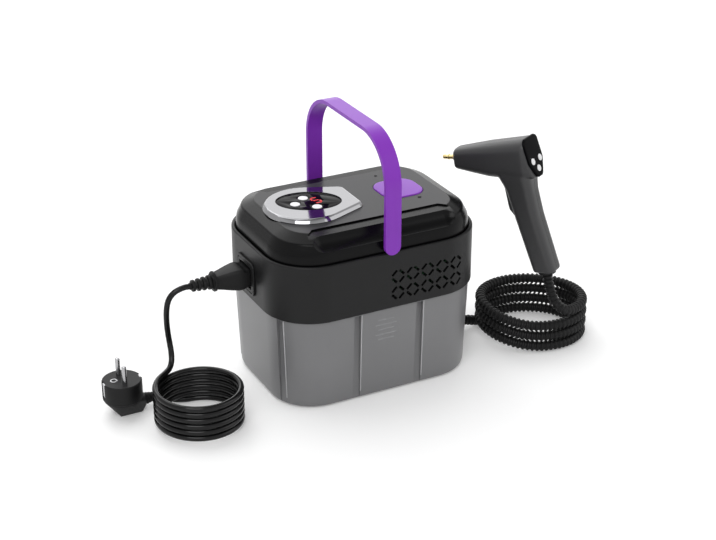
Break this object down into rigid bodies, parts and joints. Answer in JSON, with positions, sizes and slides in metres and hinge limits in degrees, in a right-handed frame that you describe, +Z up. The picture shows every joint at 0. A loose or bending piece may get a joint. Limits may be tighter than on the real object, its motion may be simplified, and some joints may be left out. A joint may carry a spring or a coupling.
{
  "type": "steam cleaner",
  "caption": "Canister steam cleaner with smoky water tank, folding bail handle, control display, filler cap, ribbed steam hose with pistol gun, and a coiled mains lead.",
  "frame": {"origin": "middle of the tank's flat underside, on the floor", "axes": "+X along the long side to the hose, -Y to the vented front, +Z up"},
  "size_m": [0.5323, 0.178, 0.2771],
  "materials": {
    "purple_plastic": "satin",
    "black_gloss": "gloss",
    "black_satin": "satin",
    "smoke_plastic": "translucent",
    "chrome_trim": "polished",
    "white_plastic": "satin",
    "red_light": "lit",
    "brass": "turned",
    "steel": "plated",
    "boiler_metal": "cast",
    "black_rubber": "matte",
    "grey_plastic": "matte",
    "board_green": "satin",
    "clear_tube": "satin"
  },
  "bodies": {
    "base": {"water_tank": "smoke_plastic", "tank_gasket": "black_rubber", "deck_plate": "grey_plastic", "deck_screws": "steel", "housing_band": "black_satin", "top_cover": "black_gloss", "cover_screws": "steel", "handle_pins": "steel", "panel_bezel": "chrome_trim", "display_window": "black_gloss", "display_digit": "red_light", "display_board": "board_green", "filler_neck": "grey_plastic", "mains_inlet": "black_satin", "inlet_blades": "steel", "mains_connector": "black_rubber", "mains_lead": "black_rubber", "mains_coil": "black_rubber", "mains_tail": "black_rubber", "mains_plug": "black_rubber", "plug_pins": "steel", "earth_clips": "steel", "boiler": "boiler_metal", "pump": "grey_plastic", "control_board": "board_green", "suction_tube": "clear_tube", "suction_filter": "black_satin", "feed_tube": "clear_tube", "steam_tube": "clear_tube", "hose_cover": "black_satin", "hose_gland": "black_satin", "hose_lead": "black_rubber", "hose_coil": "black_rubber", "hose_riser": "black_rubber", "gun_shell_left": "black_satin", "gun_shell_right": "black_satin", "gun_screws": "steel", "gun_nozzle": "brass", "gun_nozzle_collar": "black_satin", "gun_steam_pipe": "clear_tube", "gun_panel": "black_gloss", "gun_button_board": "board_green", "gun_lamp": "white_plastic", "trigger_switch": "black_satin", "gun_hose_collar": "black_satin"},
    "handle": {"carry_handle": "purple_plastic"},
    "cap": {"filler_cap": "purple_plastic", "cap_seal": "black_rubber"},
    "panel_button_rear": {"rear_button": "white_plastic"},
    "panel_button_left": {"left_button": "white_plastic"},
    "panel_button_front": {"front_button": "white_plastic"},
    "gun_button_left": {"gun_left_button": "white_plastic"},
    "gun_button_right": {"gun_right_button": "white_plastic"},
    "gun_button_lower": {"gun_lower_button": "white_plastic"},
    "trigger": {"gun_trigger": "black_satin"}
  },
  "joints": [
    {"name": "handle_swing", "type": "hinge", "parent": "base", "child": "handle", "pos_m": [0, 0, 0.167], "axis": [0, 1, 0], "range_deg": [-79, 79]},
    {"name": "cap_lift", "type": "slide", "parent": "base", "child": "cap", "axis": [0, 0, 1], "range_m": [0, 0.035]},
    {"name": "rear_button_press", "type": "slide", "parent": "base", "child": "panel_button_rear", "axis": [0, 0, -1], "range_m": [0, 0.001], "stiffness_N_per_m": 800},
    {"name": "left_button_press", "type": "slide", "parent": "base", "child": "panel_button_left", "axis": [0, 0, -1], "range_m": [0, 0.001], "stiffness_N_per_m": 800},
    {"name": "front_button_press", "type": "slide", "parent": "base", "child": "panel_button_front", "axis": [0, 0, -1], "range_m": [0, 0.001], "stiffness_N_per_m": 800},
    {"name": "gun_left_button_press", "type": "slide", "parent": "base", "child": "gun_button_left", "axis": [-0.5064, 0.8428, -0.1822], "range_m": [0, 0.001], "stiffness_N_per_m": 800},
    {"name": "gun_right_button_press", "type": "slide", "parent": "base", "child": "gun_button_right", "axis": [-0.5064, 0.8428, -0.1822], "range_m": [0, 0.001], "stiffness_N_per_m": 800},
    {"name": "gun_lower_button_press", "type": "slide", "parent": "base", "child": "gun_button_lower", "axis": [-0.5064, 0.8428, -0.1822], "range_m": [0, 0.001], "stiffness_N_per_m": 800},
    {"name": "trigger_pull", "type": "slide", "parent": "base", "child": "trigger", "axis": [0.5064, -0.8428, 0.1822], "range_m": [0, 0.004], "stiffness_N_per_m": 800}
  ]
}
